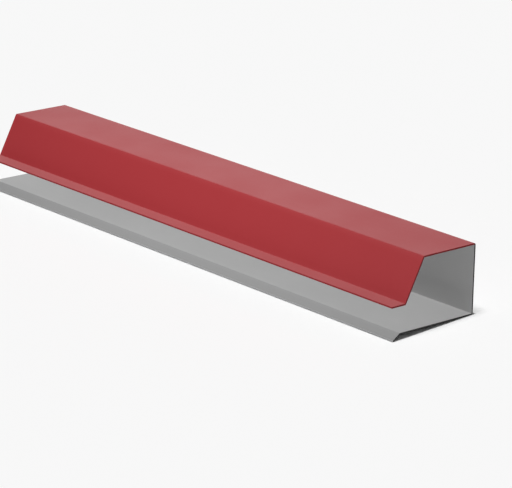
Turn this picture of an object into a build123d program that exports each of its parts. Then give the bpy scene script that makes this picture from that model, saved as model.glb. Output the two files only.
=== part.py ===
"""Drip edge: one strip of painted sheet, folded lengthwise into an open box section.

The strip lies as it rests unheld on a level floor, on its back bottom fold and on the tip of its lip.
X runs along the strip, the open front faces -Y, and the origin is the middle of the footprint at floor height.
"""

import os
from math import acos, atan2, cos, degrees, hypot, radians, sin

from build123d import *

# Driving sizes, in millimetres and degrees, over the outer side of the sheet
LENGTH = 1000.0         # along the folds, end to end
SHEET = 2.5             # thickness of the sheet with its coatings
BEND_RADIUS = 0.5       # inside radius of every fold
WEB_HEIGHT = 111.5      # underside of the bottom flange to the top of the top flange
TOP_FLANGE = 105.5      # back of the web to the front fold
FACE_OUT = 34.0         # how far the foot of the face stands in front of the front fold
FACE_DROP = 66.0        # how far the foot of the face lies below the top flange
KICK = 26.0             # foot of the face to the tip of the kick
BOTTOM_FLANGE = 147.5   # back of the web to the lip fold
LIP = 15.5              # lip fold to the tip of the lip
LIP_FALL = 35.0         # slope of the lip below the bottom flange

# Outer side of the section, in the folder's own square frame: back bottom corner at (0, 0), front at -Y
back_bottom = Vector(0, 0)
back_top = Vector(0, WEB_HEIGHT)
front_fold = Vector(-TOP_FLANGE, WEB_HEIGHT)
face_foot = Vector(-TOP_FLANGE - FACE_OUT, WEB_HEIGHT - FACE_DROP)
kick_tip = face_foot - Vector(KICK, 0)
lip_fold = Vector(-BOTTOM_FLANGE, 0)
lip_slope = radians(LIP_FALL)
lip_tip = lip_fold - Vector(LIP * cos(lip_slope), LIP * sin(lip_slope))

# Folds whose outside lies on the outer side get the sheet's thickness on top of the inside radius
outside_radius = BEND_RADIUS + SHEET
outer_side = [kick_tip, face_foot, front_fold, back_top, back_bottom, lip_fold, lip_tip]
fold_radii = [BEND_RADIUS, outside_radius, outside_radius, outside_radius, BEND_RADIUS]


def sheet_section():
    """The folded strip's cross-section: the outer side, thickened towards the inside of the box."""
    with BuildSketch() as section:
        with BuildLine():
            FilletPolyline(outer_side, radius=fold_radii)
            offset(amount=SHEET, side=Side.RIGHT, closed=True)
        make_face()
    return section.sketch


def rest_angle():
    """Degrees that the front rises as the strip settles: back fold and lip tip then touch the same floor.

    The fold's round touches with its lowest point, one radius below its centre, and the lip with its tip.
    """
    fold_centre = back_bottom + Vector(-outside_radius, outside_radius)
    span = fold_centre - lip_tip
    return degrees(acos(outside_radius / hypot(span.X, span.Y)) - atan2(span.X, span.Y))


def drip_edge_sheet():
    """The section drawn out along the strip, settled on the floor and centred over the origin."""
    strip = extrude(Plane.YZ * sheet_section(), amount=LENGTH)
    settled = Rot(X=-rest_angle()) * strip
    box = settled.bounding_box()
    return Pos(-box.center().X, -box.center().Y, -box.min.Z) * settled


os.makedirs("parts", exist_ok=True)
sheet = drip_edge_sheet()
export_step(sheet, "parts/drip_edge_sheet.step")
print("rest angle", round(rest_angle(), 3), "volume cm3", round(sheet.volume / 1000, 2))
print("box", sheet.bounding_box())
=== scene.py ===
"""The drip edge as it lies on a pale studio floor, one folded strip of sheet seen over its open end.

Everything is in metres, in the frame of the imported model: X along the folds, -Y towards the open front,
Z up from the floor.
"""

import math

import bpy
import numpy as np
from mathutils import Matrix, Vector


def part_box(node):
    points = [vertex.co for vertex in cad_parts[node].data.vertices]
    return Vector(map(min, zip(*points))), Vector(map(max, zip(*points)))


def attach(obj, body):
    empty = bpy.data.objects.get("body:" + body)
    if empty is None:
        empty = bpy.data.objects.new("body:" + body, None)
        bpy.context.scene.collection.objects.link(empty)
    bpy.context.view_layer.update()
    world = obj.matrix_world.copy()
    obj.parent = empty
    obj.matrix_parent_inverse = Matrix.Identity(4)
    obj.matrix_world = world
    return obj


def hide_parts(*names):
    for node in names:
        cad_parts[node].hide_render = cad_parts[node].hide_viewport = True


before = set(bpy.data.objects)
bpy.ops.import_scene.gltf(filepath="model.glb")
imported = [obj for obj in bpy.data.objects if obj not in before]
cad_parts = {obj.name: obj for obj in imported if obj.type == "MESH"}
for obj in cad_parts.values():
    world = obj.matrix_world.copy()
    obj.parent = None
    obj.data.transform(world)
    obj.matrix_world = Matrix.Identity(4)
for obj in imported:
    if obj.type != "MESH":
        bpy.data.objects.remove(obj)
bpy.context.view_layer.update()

# The camera
# A long lens, well back from the strip and a little above it, looks over the near end along the folds.
# It is rolled to one side by a degree and a half.

CAMERA_PLACE = Vector((3.3158, -2.7041, 1.5094))
CAMERA_HEADING = math.radians(139.9453)     # turn of the line of sight about Z, from +X
CAMERA_DIP = math.radians(19.4059)          # fall of the line of sight below level
CAMERA_ROLL = math.radians(1.4441)
CAMERA_LENS = 200.747                       # mm, on a sensor 36 mm wide


def line_of_sight(heading, dip, roll):
    """Turn of a camera, as a matrix whose columns are its right, its up and the way back from its subject.

    Forward is the heading in plan, dipped below level. The level right and down go round it by the roll.
    """
    forward = Vector((math.cos(dip) * math.cos(heading), math.cos(dip) * math.sin(heading), -math.sin(dip)))
    level_right = Vector((math.sin(heading), -math.cos(heading), 0.0))
    level_down = forward.cross(level_right)
    right = math.cos(roll) * level_right + math.sin(roll) * level_down
    down = math.cos(roll) * level_down - math.sin(roll) * level_right
    return Matrix((right, -down, -forward)).transposed()


camera = bpy.data.objects.new("camera", bpy.data.cameras.new("camera"))
camera.data.lens = CAMERA_LENS
camera.data.sensor_width = 36.0
camera.data.clip_end = 100.0
camera.matrix_world = (
    Matrix.Translation(CAMERA_PLACE) @ line_of_sight(CAMERA_HEADING, CAMERA_DIP, CAMERA_ROLL).to_4x4()
)
bpy.context.collection.objects.link(camera)
bpy.context.scene.camera = camera

# The folded sheet
# One strip of 2.5 mm aluminium: satin red outside its top flange, face and kick, and matt grey elsewhere.
# Five folds from a press brake make the kick, face, top flange, web, bottom flange and lip. Both ends are
# sheared square, and the grey part's sheared ends are painted near black, which is painted shade. The red
# part's ends and tip are touched up in a red darker than the coat, partly painted shade, and the lip's tip
# is bare metal.

SHEET = 0.0025
BEND_RADIUS = 0.0005
WEB_HEIGHT = 0.1115
TOP_FLANGE = 0.1055
FACE_OUT = 0.034
FACE_DROP = 0.066
KICK = 0.026
BOTTOM_FLANGE = 0.1475
LIP = 0.0155
LIP_FALL = math.radians(35.0)
FLAT_STEP = 0.006       # spacing of the mesh across the flats
FOLD_STEPS = 8          # faces round each fold
LENGTH_STEPS = 120      # faces along the strip
ROUNDING = 0.000001     # room for rounding where lines of the mesh are set against a place on the sheet
BUCKLE = 0.00012        # height of the faint waves that rolling leaves in the flats
BUCKLE_WAVES = [(1.0, 9, 2), (0.6, 23, 5), (0.4, 41, 1)]    # share, turn per metre, turn from flat to flat
STILL_ENDS = 8          # power by which the waves die out close to the ends
CUT_ROUND = 0.00018     # round that shearing leaves along the cut edges
CUT_TURN = math.radians(60)     # least turn of an edge that has this round
FOLD_WEAR = 0.0025      # how far the paler wear beside a fold reaches before it fades
OVERSPRAY = 0.012       # reach of the red mist down the back of the web
# Painted shade: the lip's grey coat is darkened to stand in for shade that the lamps don't give it
LIP_PAINTED_SHADE = 0.82        # the lip's grey against the flange's

# Corners of the outer side of the sheet, as y + iz with the back bottom corner at 0
face_foot = -TOP_FLANGE - FACE_OUT + 1j * (WEB_HEIGHT - FACE_DROP)
lip_tip = -BOTTOM_FLANGE - LIP * np.exp(1j * LIP_FALL)
front_fold = -TOP_FLANGE + 1j * WEB_HEIGHT
back_top = 1j * WEB_HEIGHT
outer_corners = np.array([face_foot - KICK, face_foot, front_fold, back_top, 0, -BOTTOM_FLANGE, lip_tip])
BACK_TOP_FOLD, LIP_FOLD = 2, 4      # places in the row of folds, which starts with 0 at the face's foot

# The strip's finishes, in the order of its materials
RED, GREY, TOUCHED_UP_AND_SHADE, SHEARED_SHADE, SLIT = range(5)


def flat_stations(corners):
    """Distances along the sheet's middle where the mesh has a line, and each fold's start, arc and turn.

    A fold turned towards the outer side has the inside radius there, and the others have the sheet's
    thickness more. Its setback from the corner is that radius times the tangent of half the turn. The
    flats are the legs less their setbacks, and each fold is an arc of the middle radius.
    """
    legs = np.diff(corners)
    turns = np.angle(legs[1:] / legs[:-1])
    outer_radius = np.where(turns > 0, BEND_RADIUS, BEND_RADIUS + SHEET)
    setback = outer_radius * np.tan(abs(turns) / 2)
    flats = abs(legs) - np.append(0, setback) - np.append(setback, 0)
    arcs = (BEND_RADIUS + SHEET / 2) * abs(turns)
    flat_starts = np.append(0, np.cumsum(flats[:-1] + arcs))
    fold_starts = flat_starts[:-1] + flats[:-1]
    stations = [
        np.linspace(start, start + flat, max(2, round(flat / FLAT_STEP)) + 1)
        for start, flat in zip(flat_starts, flats)
    ]
    rounds = [
        np.linspace(start, start + arc, FOLD_STEPS + 1)[1:-1] for start, arc in zip(fold_starts, arcs)
    ]
    return np.sort(np.concatenate(stations + rounds)), flat_starts, flats, fold_starts, arcs, turns


def folded_middle(along, corners, fold_starts, arcs, turns):
    """Middle line of the folded sheet at each distance, and its heading there.

    The heading is the first leg's plus each fold's turn, in proportion to how much of its arc is passed.
    From one line of the mesh to the next the middle moves by a chord: the distance times the sine of half
    the turn over half the turn, in the mean heading.
    """
    passed = np.clip((along[:, None] - fold_starts) / arcs, 0, 1)
    heading = np.angle(corners[1] - corners[0]) + passed @ turns
    turned = np.diff(heading)
    chord = np.diff(along) * np.sinc(turned / (2 * np.pi)) * np.exp(1j * (heading[:-1] + turned / 2))
    start = corners[0] - 1j * np.exp(1j * heading[0]) * SHEET / 2
    return start + np.append(0, np.cumsum(chord)), heading


def buckle(along, lengthwise, flat_starts, flats):
    """Height of the faint waves in the flats, over the grid of distances round and along the strip.

    Each flat swells as half a sine across its width, in proportion to the width, so that folds and tips
    stay straight. Along the strip three sines of unlike length, set off from flat to flat, add up.
    """
    across = np.clip((along[:, None] - flat_starts) / flats, 0, 1)
    swell = np.sin(np.pi * across) * flats / flats.max()
    number = np.arange(len(flats))
    x = lengthwise[:, None]
    waves = sum(
        share * np.sin(along_turn * x + flat_turn * number) for share, along_turn, flat_turn in BUCKLE_WAVES
    )
    return BUCKLE / 2 * swell @ waves.T


def settle(section):
    """Section turned to where the strip rests, with its lip tip and its back fold on the same floor.

    The turn is the angle whose cosine is the fold's outside radius over the reach from the lip tip to the
    fold's centre, less that reach's lean from the upright.
    """
    outside = BEND_RADIUS + SHEET
    reach = outside * (-1 + 1j) - lip_tip
    lean = math.acos(outside / abs(reach)) - math.atan2(reach.real, reach.imag)
    return section * np.exp(-1j * lean)


def sheet_grid():
    """Vertices, faces, UVs, finishes and place masks of the strip.

    The outer surface is the middle plus half the sheet along its normal, and the inner surface is the
    middle less half the sheet, both as grids over the distances round and along the strip. The cut edges
    join the two grids' rims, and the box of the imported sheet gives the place. Nearness to a fold fades as
    the exponential of the distance from its arc.
    """
    low, high = (np.array(corner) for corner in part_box("drip_edge_sheet"))
    along, flat_starts, flats, fold_starts, arcs, turns = flat_stations(outer_corners)
    middle, heading = folded_middle(along, outer_corners, fold_starts, arcs, turns)
    normal = 1j * np.exp(1j * heading)
    lengthwise = np.linspace(low[0], high[0], LENGTH_STEPS + 1)
    waves = buckle(along, lengthwise, flat_starts, flats)
    waves *= np.clip(1 - abs(2 * lengthwise / (high[0] - low[0])) ** STILL_ENDS, 0, 1)
    still = settle(np.concatenate([middle + normal * SHEET / 2, middle - normal * SHEET / 2]))
    shift = low[1] - still.real.min() + 1j * (low[2] - still.imag.min())
    sides = [
        settle(middle[:, None] + normal[:, None] * (waves + offset)) + shift
        for offset in (SHEET / 2, -SHEET / 2)
    ]
    x = np.broadcast_to(lengthwise, waves.shape)
    places = np.concatenate([np.stack([x, side.real, side.imag], axis=-1).reshape(-1, 3) for side in sides])

    rows, columns = waves.shape
    outer = np.arange(rows * columns).reshape(rows, columns)
    inner = outer + rows * columns

    def quads(a, b, c, d):
        return np.stack([a, b, c, d], axis=-1).reshape(-1, 4)

    faces = [
        quads(outer[:-1, :-1], outer[:-1, 1:], outer[1:, 1:], outer[1:, :-1]),
        quads(inner[:-1, :-1], inner[1:, :-1], inner[1:, 1:], inner[:-1, 1:]),
        quads(outer[:-1, 0], outer[1:, 0], inner[1:, 0], inner[:-1, 0]),
        quads(outer[:-1, -1], inner[:-1, -1], inner[1:, -1], outer[1:, -1]),
        quads(outer[0, :-1], inner[0, :-1], inner[0, 1:], outer[0, 1:]),
        quads(outer[-1, :-1], outer[-1, 1:], inner[-1, 1:], inner[-1, :-1]),
    ]
    red_end = fold_starts[BACK_TOP_FOLD] + arcs[BACK_TOP_FOLD] / 2
    on_red = along < red_end - ROUNDING
    end_finish = np.where(on_red[:-1], TOUCHED_UP_AND_SHADE, SHEARED_SHADE)
    finishes = [
        np.repeat(np.where(on_red[:-1], RED, GREY), columns - 1),
        np.full(len(faces[1]), GREY),
        end_finish,
        end_finish,
        np.full(columns - 1, TOUCHED_UP_AND_SHADE),
        np.full(columns - 1, SLIT),
    ]
    to_fold = abs(along[:, None] - (fold_starts + arcs / 2)) - arcs / 2
    nearness = np.exp(-np.clip(to_fold, 0, None).min(axis=1) / FOLD_WEAR)
    mist = np.clip(1 - (along - red_end) / OVERSPRAY, 0, 1) * ~on_red
    # Mask of the lip, where the grey coat gets its painted shade
    lip_shade_mask = np.clip((along - fold_starts[LIP_FOLD]) / arcs[LIP_FOLD], 0, 1)
    round_section = np.broadcast_to(along[:, None], waves.shape)
    uv = np.stack([x - low[0], round_section], axis=-1).reshape(-1, 2)
    return (
        places,
        np.concatenate(faces),
        np.concatenate([uv, uv]),
        np.concatenate(finishes),
        {
            "fold_nearness": np.tile(np.repeat(nearness, columns), 2),
            "overspray": np.append(np.repeat(mist, columns), np.zeros(waves.size)),
            "lip": np.append(np.zeros(waves.size), np.repeat(lip_shade_mask, columns)),
        },
    )


SCUFFS_ALONG = 14.0         # scuffs to the metre along the strip
SCUFFS_ACROSS = 900.0       # scuffs to the metre across it
SCUFF_CREST = (0.62, 0.8)   # height of the scuff noise where a scuff starts, and where it is full
FILM_PATCHES = 11.0         # patches of film to the metre
SCUFFED_FILM = (0.5, 0.75)  # depth of film where scuffs start, and where they are full


def handling_marks():
    """Shader group: sparse fine scuffs and a dull film that handling leaves, the same on every coat.

    Scuffs are the crest of a noise drawn out along the strip, kept only where a broad noise is high.
    """
    group = bpy.data.node_groups.new("handling marks", "ShaderNodeTree")
    face = group.interface
    face.new_socket("Scuff amount", in_out="INPUT", socket_type="NodeSocketFloat").default_value = 0.5
    face.new_socket("Scuffs", in_out="OUTPUT", socket_type="NodeSocketFloat")
    face.new_socket("Film", in_out="OUTPUT", socket_type="NodeSocketFloat")
    nodes, link = group.nodes, group.links.new
    start, end = nodes.new("NodeGroupInput"), nodes.new("NodeGroupOutput")
    place = nodes.new("ShaderNodeTexCoord")
    drawn = nodes.new("ShaderNodeMapping")
    drawn.inputs["Scale"].default_value = (SCUFFS_ALONG, SCUFFS_ACROSS, SCUFFS_ACROSS)
    scratch = nodes.new("ShaderNodeTexNoise")
    scratch.inputs["Scale"].default_value = 1.0
    scratch.inputs["Detail"].default_value = 3.0
    broad = nodes.new("ShaderNodeTexNoise")
    broad.inputs["Scale"].default_value = FILM_PATCHES
    broad.inputs["Detail"].default_value = 4.0
    crest = nodes.new("ShaderNodeMapRange")
    crest.inputs["From Min"].default_value = SCUFF_CREST[0]
    crest.inputs["From Max"].default_value = SCUFF_CREST[1]
    patch = nodes.new("ShaderNodeMapRange")
    patch.inputs["From Min"].default_value = SCUFFED_FILM[0]
    patch.inputs["From Max"].default_value = SCUFFED_FILM[1]
    both = nodes.new("ShaderNodeMath")
    both.operation = "MULTIPLY"
    scaled = nodes.new("ShaderNodeMath")
    scaled.operation = "MULTIPLY"
    link(place.outputs["Object"], drawn.inputs["Vector"])
    link(drawn.outputs["Vector"], scratch.inputs["Vector"])
    link(place.outputs["Object"], broad.inputs["Vector"])
    link(scratch.outputs["Fac"], crest.inputs["Value"])
    link(broad.outputs["Fac"], patch.inputs["Value"])
    link(crest.outputs["Result"], both.inputs[0])
    link(patch.outputs["Result"], both.inputs[1])
    link(both.outputs["Value"], scaled.inputs[0])
    link(start.outputs["Scuff amount"], scaled.inputs[1])
    link(scaled.outputs["Value"], end.inputs["Scuffs"])
    link(broad.outputs["Fac"], end.inputs["Film"])
    return group


MARKS = handling_marks()

COAT_IOR = 1.5
COAT_SPECULAR = 0.25        # half the gloss of a clear varnish
FOLD_FADING = 0.35          # how far the colour fades right beside a fold
FILM_DULLING = 0.12         # roughness that the thickest film adds
GRAIN_STRENGTH = 0.6


def coat(name, colour, faded, roughness, scuff_amount, grain_scale, grain_height):
    """Coat of paint that goes paler along scuffs and beside folds and duller under the handling film.

    A fine grain lies in its surface.
    """
    material = bpy.data.materials.new(name)
    material.use_nodes = True
    nodes, link = material.node_tree.nodes, material.node_tree.links.new
    shader = nodes["Principled BSDF"]
    shader.inputs["IOR"].default_value = COAT_IOR
    shader.inputs["Specular IOR Level"].default_value = COAT_SPECULAR
    marks = nodes.new("ShaderNodeGroup")
    marks.node_tree = MARKS
    marks.inputs["Scuff amount"].default_value = scuff_amount
    drift = nodes.new("ShaderNodeMix")
    drift.data_type = "RGBA"
    drift.inputs["A"].default_value = (*colour, 1)
    drift.inputs["B"].default_value = (*faded, 1)
    near_fold = nodes.new("ShaderNodeAttribute")
    near_fold.attribute_name = "fold_nearness"
    worn = nodes.new("ShaderNodeMath")
    worn.operation = "MULTIPLY_ADD"
    worn.inputs[1].default_value = FOLD_FADING
    dull = nodes.new("ShaderNodeMapRange")
    dull.inputs["To Min"].default_value = roughness
    dull.inputs["To Max"].default_value = roughness + FILM_DULLING
    place = nodes.new("ShaderNodeTexCoord")
    grain = nodes.new("ShaderNodeTexNoise")
    grain.inputs["Scale"].default_value = grain_scale
    grain.inputs["Detail"].default_value = 2.0
    bump = nodes.new("ShaderNodeBump")
    bump.inputs["Distance"].default_value = grain_height
    bump.inputs["Strength"].default_value = GRAIN_STRENGTH
    link(near_fold.outputs["Fac"], worn.inputs[0])
    link(marks.outputs["Scuffs"], worn.inputs[2])
    link(worn.outputs["Value"], drift.inputs["Factor"])
    link(drift.outputs["Result"], shader.inputs["Base Color"])
    link(marks.outputs["Film"], dull.inputs["Value"])
    link(dull.outputs["Result"], shader.inputs["Roughness"])
    link(place.outputs["Object"], grain.inputs["Vector"])
    link(grain.outputs["Fac"], bump.inputs["Height"])
    link(bump.outputs["Normal"], shader.inputs["Normal"])
    return material


RED_PAINT = (0.309, 0.0215, 0.0262)
red_coat = coat(
    "red coat", colour=RED_PAINT, faded=(0.35, 0.038, 0.043), roughness=0.64, scuff_amount=0.5,
    grain_scale=900.0, grain_height=0.00002,
)
grey_coat = coat(
    "grey coat", colour=(0.328, 0.328, 0.328), faded=(0.36, 0.36, 0.36), roughness=0.64,
    scuff_amount=0.5, grain_scale=1500.0, grain_height=0.00001,
)

MIST_DROPLETS = 2600.0          # droplets to the metre
MIST_THINNING = (-0.3, 0.1)     # reach less droplet noise where the mist starts, and where it is full


def mist_and_painted_lip_shade(material):
    """Grey coat's changes with place: red mist below the back top fold, and painted shade that darkens the
    lip.

    The mist is a fine noise kept where it is under the overspray's reach, so it thins out downwards.
    """
    nodes, link = material.node_tree.nodes, material.node_tree.links.new
    shader = nodes["Principled BSDF"]
    plain = shader.inputs["Base Color"].links[0].from_socket
    # The lip mask, and the painted shade that multiplies the lip's grey
    lip = nodes.new("ShaderNodeAttribute")
    lip.attribute_name = "lip"
    painted_lip_shade = nodes.new("ShaderNodeMix")
    painted_lip_shade.data_type = "RGBA"
    painted_lip_shade.blend_type = "MULTIPLY"
    painted_lip_shade.inputs["B"].default_value = (LIP_PAINTED_SHADE, LIP_PAINTED_SHADE, LIP_PAINTED_SHADE, 1)
    reach = nodes.new("ShaderNodeAttribute")
    reach.attribute_name = "overspray"
    place = nodes.new("ShaderNodeTexCoord")
    droplets = nodes.new("ShaderNodeTexNoise")
    droplets.inputs["Scale"].default_value = MIST_DROPLETS
    under = nodes.new("ShaderNodeMath")
    under.operation = "SUBTRACT"
    kept = nodes.new("ShaderNodeMapRange")
    kept.inputs["From Min"].default_value = MIST_THINNING[0]
    kept.inputs["From Max"].default_value = MIST_THINNING[1]
    misted = nodes.new("ShaderNodeMix")
    misted.data_type = "RGBA"
    misted.inputs["B"].default_value = (*RED_PAINT, 1)
    link(place.outputs["Object"], droplets.inputs["Vector"])
    link(reach.outputs["Fac"], under.inputs[0])
    link(droplets.outputs["Fac"], under.inputs[1])
    link(under.outputs["Value"], kept.inputs["Value"])
    link(lip.outputs["Fac"], painted_lip_shade.inputs["Factor"])
    link(plain, painted_lip_shade.inputs["A"])
    link(kept.outputs["Result"], misted.inputs["Factor"])
    link(painted_lip_shade.outputs["Result"], misted.inputs["A"])
    link(misted.outputs["Result"], shader.inputs["Base Color"])


mist_and_painted_lip_shade(grey_coat)
# Red touch-up on the cut ends and the kick's tip, darker than the coat: partly painted shade
touched_up_and_shade = coat(
    "touched up edge with painted shade", colour=(0.21, 0.008, 0.011), faded=(0.24, 0.012, 0.015), roughness=0.7,
    scuff_amount=0.3, grain_scale=1200.0, grain_height=0.00003,
)

CUT_FLECKS = 2500.0     # flecks to the metre
CUT_ROUGHNESS = 0.7
CUT_SPECULAR = 0.15


def cut_metal(name, dark, light):
    """Cut edge of the aluminium, left unpainted: fine flecks between a dark and a light grey tone."""
    material = bpy.data.materials.new(name)
    material.use_nodes = True
    nodes, link = material.node_tree.nodes, material.node_tree.links.new
    shader = nodes["Principled BSDF"]
    place = nodes.new("ShaderNodeTexCoord")
    flecks = nodes.new("ShaderNodeTexNoise")
    flecks.inputs["Scale"].default_value = CUT_FLECKS
    tone = nodes.new("ShaderNodeValToRGB")
    tone.color_ramp.elements[0].color = (*dark, 1)
    tone.color_ramp.elements[1].color = (*light, 1)
    link(place.outputs["Object"], flecks.inputs["Vector"])
    link(flecks.outputs["Fac"], tone.inputs["Fac"])
    link(tone.outputs["Color"], shader.inputs["Base Color"])
    shader.inputs["Roughness"].default_value = CUT_ROUGHNESS
    shader.inputs["Specular IOR Level"].default_value = CUT_SPECULAR
    return material


# The sheared ends' near black is painted shade, far darker than cut aluminium is
sheared_end_shade = cut_metal("sheared end in painted shade", dark=(0.02, 0.02, 0.021), light=(0.045, 0.045, 0.046))
slit_edge = cut_metal("slit edge", dark=(0.42, 0.42, 0.43), light=(0.54, 0.54, 0.55))


def strip_piece():
    """The strip as one smooth shaded mesh with its five finishes, and a small round along its cut edges."""
    places, faces, uv, finishes, masks = sheet_grid()
    mesh = bpy.data.meshes.new("drip_edge_strip")
    mesh.from_pydata(places.tolist(), [], faces.tolist())
    mesh.polygons.foreach_set("material_index", finishes.astype(np.int32))
    mesh.polygons.foreach_set("use_smooth", np.ones(len(faces), dtype=bool))
    corner_vertices = np.empty(len(mesh.loops), dtype=np.int32)
    mesh.loops.foreach_get("vertex_index", corner_vertices)
    mesh.uv_layers.new(name="flat_sheet").data.foreach_set("uv", uv[corner_vertices].ravel())
    for name, values in masks.items():
        mesh.attributes.new(name, "FLOAT", "POINT").data.foreach_set("value", values)
    for finish in (red_coat, grey_coat, touched_up_and_shade, sheared_end_shade, slit_edge):
        mesh.materials.append(finish)
    mesh.update()
    piece = bpy.data.objects.new("drip_edge_strip", mesh)
    bpy.context.collection.objects.link(piece)
    eased = piece.modifiers.new("cut edges", "BEVEL")
    eased.width = CUT_ROUND
    eased.segments = 2
    eased.limit_method = "ANGLE"
    eased.angle_limit = CUT_TURN
    eased.harden_normals = True
    return piece


strip = strip_piece()
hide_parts("drip_edge_sheet")
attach(strip, "root")

# The floor and the light
# A pale floor that runs out past the view, under an even sky. Two lamps overhead light the floor and give
# it the strip's shadow. The strip has fill lamps of its own: one high in front and one low behind, which
# cast no shadow, so that the inside of the channel shows, and one low in front.

FLOOR_REACH = 20.0
FLOOR_WHITE = 0.94
SKY = 0.1               # light of the sky on everything
SKY_SEEN = 1.0          # the same sky as the camera and reflections see it
KEY = 0.5               # a lamp's light on a surface square to it, where 1 shows a colour as written
SOFT_KEY = 0.4
FRONT_FILL = 0.775
LOW_FILL = 0.31
BACK_SHEEN = 0.44


def plain_floor():
    """Flat square of pale floor at the level that the strip rests on."""
    reach = FLOOR_REACH
    corners = [(-reach, -reach, 0), (reach, -reach, 0), (reach, reach, 0), (-reach, reach, 0)]
    mesh = bpy.data.meshes.new("floor")
    mesh.from_pydata(corners, [], [(0, 1, 2, 3)])
    material = bpy.data.materials.new("pale floor")
    material.use_nodes = True
    shader = material.node_tree.nodes["Principled BSDF"]
    shader.inputs["Base Color"].default_value = (FLOOR_WHITE, FLOOR_WHITE, FLOOR_WHITE, 1)
    shader.inputs["Roughness"].default_value = 1.0
    shader.inputs["Specular IOR Level"].default_value = 0.0
    mesh.materials.append(material)
    piece = bpy.data.objects.new("floor", mesh)
    bpy.context.collection.objects.link(piece)
    return piece


def even_sky():
    """White sky that lights the scene faintly, and that the camera and reflections see at full white."""
    world = bpy.data.worlds.new("even sky")
    world.use_nodes = True
    nodes, link = world.node_tree.nodes, world.node_tree.links.new
    sky = nodes["Background"]
    ray = nodes.new("ShaderNodeLightPath")
    seen = nodes.new("ShaderNodeMath")
    seen.operation = "MAXIMUM"
    through = nodes.new("ShaderNodeMath")
    through.operation = "MAXIMUM"
    level = nodes.new("ShaderNodeMapRange")
    level.inputs["To Min"].default_value = SKY
    level.inputs["To Max"].default_value = SKY_SEEN
    link(ray.outputs["Is Camera Ray"], seen.inputs[0])
    link(ray.outputs["Is Glossy Ray"], seen.inputs[1])
    link(seen.outputs["Value"], through.inputs[0])
    link(ray.outputs["Is Transmission Ray"], through.inputs[1])
    link(through.outputs["Value"], level.inputs["Value"])
    link(level.outputs["Result"], sky.inputs["Strength"])
    sky.inputs["Color"].default_value = (1, 1, 1, 1)
    bpy.context.scene.world = world


def shine(name, lamp, toward, lit):
    """Set up a lamp that shines from a direction, seen from the strip, and lights one piece only."""
    piece = bpy.data.objects.new(name, lamp)
    piece.rotation_euler = Vector(toward).to_track_quat("Z", "Y").to_euler()
    bpy.context.collection.objects.link(piece)
    only = bpy.data.collections.new(name + " lights")
    only.objects.link(lit)
    piece.light_linking.receiver_collection = only
    return piece


def distant_lamp(name, toward, breadth, level, lit, shadows=True):
    """Far lamp of a breadth in degrees, with a strength of pi times the level."""
    lamp = bpy.data.lights.new(name, "SUN")
    lamp.energy = math.pi * level
    lamp.angle = math.radians(breadth)
    lamp.use_shadow = shadows
    shine(name, lamp, toward, lit)


def near_lamp(name, place, width, level, lit, shadows=True):
    """Square lamp near the strip and aimed at the middle of its footprint.

    Its power is the level times the square of pi times the distance.
    """
    lamp = bpy.data.lights.new(name, "AREA")
    lamp.size = width
    lamp.energy = (math.pi * Vector(place).length) ** 2 * level
    lamp.use_shadow = shadows
    shine(name, lamp, place, lit).location = place


floor = plain_floor()
even_sky()
distant_lamp("key", toward=(0.0, 0.0, 1.0), breadth=2.0, level=KEY, lit=floor)
distant_lamp("soft key", toward=(0.0, -0.15, 1.0), breadth=14.0, level=SOFT_KEY, lit=floor)
near_lamp("front fill", place=(-0.06, -0.45, 1.55), width=1.0, level=FRONT_FILL, lit=strip, shadows=False)
near_lamp("low fill", place=(0.1, -1.25, 0.38), width=0.35, level=LOW_FILL, lit=strip)
distant_lamp(
    "back sheen", toward=(-0.80, 0.56, 0.23), breadth=40.0, level=BACK_SHEEN, lit=strip, shadows=False
)
bpy.context.scene.view_settings.view_transform = "Standard"
